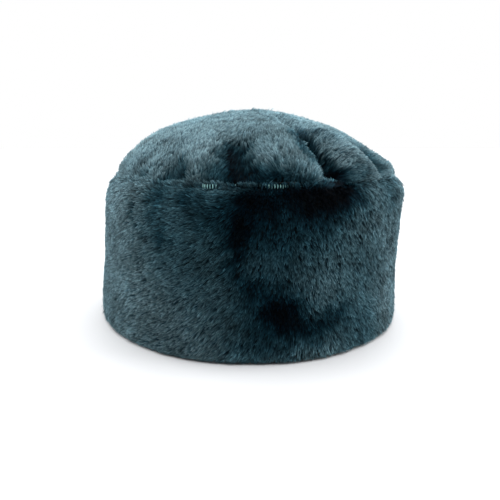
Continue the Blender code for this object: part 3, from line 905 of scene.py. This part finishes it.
def threadMaterial():
    material = plainMaterial("seamThread", seam["threadColour"], seam["threadRoughness"])
    nodes, links = material.node_tree.nodes, material.node_tree.links
    where = nodes.new("ShaderNodeTexCoord")
    ply = nodes.new("ShaderNodeTexNoise")
    ply.inputs["Scale"].default_value = seam["plyScale"]
    tones = nodes.new("ShaderNodeValToRGB")
    tones.color_ramp.elements[0].color = (*seam["threadDark"], 1)
    tones.color_ramp.elements[0].position = seam["plyEdges"][0]
    tones.color_ramp.elements[1].color = (*seam["threadColour"], 1)
    tones.color_ramp.elements[1].position = seam["plyEdges"][1]
    links.new(where.outputs["Object"], ply.inputs["Vector"])
    links.new(ply.outputs[0], tones.inputs["Fac"])
    links.new(tones.outputs["Color"], nodes["Principled BSDF"].inputs["Base Color"])
    return material


# Stitches across the seam all round the hat, each a short bow of thread.
def makeStitches():
    outline = seamOutline()
    azimuths = np.arange(seam["stitches"]) * 360 / seam["stitches"] - 180
    parted = partedAt(azimuths)
    spots = acrossSeam(azimuths, np.full(len(azimuths), 0.5), outline)
    bm = bmesh.new()
    bmesh.ops.create_uvsphere(bm, u_segments=4, v_segments=6, radius=0.5)
    bead = np.array([v.co[:] for v in bm.verts])
    faces = [[v.index for v in f.verts] for f in bm.faces]
    bm.free()
    out = np.array([ringPoint(azimuth, 1, 0) for azimuth in azimuths])[:, None]
    side = np.array([ringPoint(azimuth + 90, 1, 0) for azimuth in azimuths])[:, None]
    sunk = seam["stitchSunk"] + (seam["partedSunk"] - seam["stitchSunk"]) * parted
    bow = np.cos(bead[:, 2] * math.pi) * seam["stitchBow"] + bead[:, 1] * seam["threadSize"]
    across = bead[:, 0] * seam["threadSize"]
    points = spots[:, None] + out * (bow[None] - sunk[:, None])[:, :, None] + side * across[None, :, None]
    points[:, :, 2] += bead[:, 2] * seam["stitchHeight"]
    data = bpy.data.meshes.new("stitchBeads")
    joined = [[k + n * len(bead) for k in face] for n in range(len(azimuths)) for face in faces]
    data.from_pydata(points.reshape(-1, 3).tolist(), [], joined)
    bm = bmesh.new()
    bm.from_mesh(data)
    bpy.data.meshes.remove(data)
    bmesh.ops.recalc_face_normals(bm, faces=bm.faces)
    piece = pieceFrom(bm, "seamStitches", [threadMaterial()])
    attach(piece, "root")


# Dense wool under the tips, coloured near black as painted shade deep in the pile, and the skin inside

hide = {
    "underDepth": 0.0040,  # from the tips down to wool too dense to see into
    # near black, with darker patches: painted shade deep in the pile
    "underColour": (0.0045, 0.011, 0.014),
    "underDark": (0.0015, 0.004, 0.006),
    "underRoughness": 1.0,
    "underPatch": 0.004,  # size of its patches
    "underGrain": 0.0004,  # and depth of its surface
    "underLowest": 0.0006,  # how far off the floor it ends
    "skinThickness": 0.0015,
    "skinDepth": 0.0045,  # how far below the tips it lies at least
    "suede": (0.150, 0.135, 0.115),
    "suedeDark": (0.085, 0.075, 0.065),
    "suedeRoughness": 0.95,
    "suedePatch": 0.012,
    "suedeGrain": 0.00025,
    "grainsInPatch": 14,
    "patchEdges": (0.35, 0.65),  # between which the two colours of a patch blend
    "patchDetail": 5,
    "specular": 0.1,
}


# Two colours mixed by noise over the object, with a rough surface.
def mottledMaterial(name, paintedShade, pale, roughness, size, depth):
    material = plainMaterial(name, pale, roughness)
    nodes, links = material.node_tree.nodes, material.node_tree.links
    shader = nodes["Principled BSDF"]
    shader.inputs["Specular IOR Level"].default_value = hide["specular"]
    where = nodes.new("ShaderNodeTexCoord")
    cloud = nodes.new("ShaderNodeTexNoise")
    cloud.inputs["Scale"].default_value = 1 / size
    cloud.inputs["Detail"].default_value = hide["patchDetail"]
    tones = nodes.new("ShaderNodeValToRGB")
    tones.color_ramp.elements[0].color = (*paintedShade, 1)
    tones.color_ramp.elements[0].position = hide["patchEdges"][0]
    tones.color_ramp.elements[1].color = (*pale, 1)
    tones.color_ramp.elements[1].position = hide["patchEdges"][1]
    grain = nodes.new("ShaderNodeTexNoise")
    grain.inputs["Scale"].default_value = hide["grainsInPatch"] / size
    rough = nodes.new("ShaderNodeBump")
    rough.inputs["Distance"].default_value = depth
    links.new(where.outputs["Object"], cloud.inputs["Vector"])
    links.new(where.outputs["Object"], grain.inputs["Vector"])
    links.new(cloud.outputs[0], tones.inputs["Fac"])
    links.new(tones.outputs["Color"], shader.inputs["Base Color"])
    links.new(grain.outputs[0], rough.inputs["Height"])
    links.new(rough.outputs["Normal"], shader.inputs["Normal"])
    return material


# How the vertices of some faces face on the whole.
def facingOf(faces):
    facing = {}
    for face in faces:
        for v in face.verts:
            facing[v] = facing.get(v, Vector()) + face.normal * face.calc_area()
    return {v: way.normalized() for v, way in facing.items()}


# The faces that look into the head hollow.
def liningFaces(bm, nodeName):
    wool = set(woolFaces(bm, nodeName))
    top = seamHeight if nodeName == "side_band" else crownLow.z
    found = []
    for face in bm.faces:
        heights = [abs(v.co.z - top) for v in face.verts]
        lows = [v.co.z for v in face.verts]
        if face not in wool and max(heights) > levelReach and max(lows) > levelReach:
            found.append(face)
    return found


# Moves vertices further in that come too near under the tips of either node's wool, as in the
# crown's folds, where the wall is thin.
def keepBelow(verts, depth):
    for nodeName in ["side_band", "crown"]:
        sheet = woolSheet(nodeName)
        tree = BVHTree.FromBMesh(sheet)
        sheet.free()
        for v in verts:
            spot, facing, _, far = tree.find_nearest(v.co)
            if far < depth:
                v.co = spot - facing * depth


# The wool below the tips, in its painted shade colour: the node's own form with its outer face drawn in.
def makeUnder(nodeName, label, material):
    bm = mergedCopy(nodeName)
    outer = facingOf(woolFaces(bm, nodeName))
    inner = facingOf(liningFaces(bm, nodeName))
    lining = [v for v in inner if v not in outer]
    for v in lining:
        v.co -= inner[v] * hide["skinThickness"]
    keepBelow(lining, hide["underDepth"])
    for v, way in outer.items():
        v.co -= way * hide["underDepth"]
    for v in bm.verts:
        v.co.z = max(v.co.z, hide["underLowest"])
    piece = pieceFrom(bm, label, [material])
    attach(piece, "root")
    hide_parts(nodeName)


# The suede side of the skin, which lines the head hollow.
def makeSkin(nodeName, label):
    bm = mergedCopy(nodeName)
    keep = set(liningFaces(bm, nodeName))
    bmesh.ops.delete(bm, geom=[f for f in bm.faces if f not in keep], context="FACES")
    bm.normal_update()
    bmesh.ops.solidify(bm, geom=list(bm.faces), thickness=hide["skinThickness"])
    keepBelow(bm.verts, hide["skinDepth"])
    bmesh.ops.recalc_face_normals(bm, faces=bm.faces)
    suede = mottledMaterial(
        label + "Suede",
        hide["suedeDark"],
        hide["suede"],
        hide["suedeRoughness"],
        hide["suedePatch"],
        hide["suedeGrain"],
    )
    piece = pieceFrom(bm, label, [suede])
    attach(piece, "root")


makeCamera()
makeStudio()
print("camera and studio made")
wool = woolMaterial()
# the dense wool's colour is painted shade deep in the pile
denseShade = mottledMaterial(
    "shadedDenseWool",
    hide["underDark"],
    hide["underColour"],
    hide["underRoughness"],
    hide["underPatch"],
    hide["underGrain"],
)
makeUnder("side_band", "bandUnderwool", denseShade)
makeUnder("crown", "crownUnderwool", denseShade)
print("underwool made")
bandTufts = tuftsOn("side_band", pile["bandTufts"], napOnBand, paintedShadeOnBand)
makePile(bandTufts, "bandPile", 3, pile["bandFibreTone"], wool)
crownTufts = tuftsOn("crown", pile["crownTufts"], napOnCrown, paintedShadeOnCrown)
makePile(crownTufts, "crownPile", 2, pile["crownFibreTone"], wool)
makePile(seamTufts(), "seamPile", 1, pile["bandFibreTone"], wool)
print("pile made")
makeSkin("side_band", "bandSkin")
makeSkin("crown", "crownSkin")
makeStitches()
print("skin and stitches made")
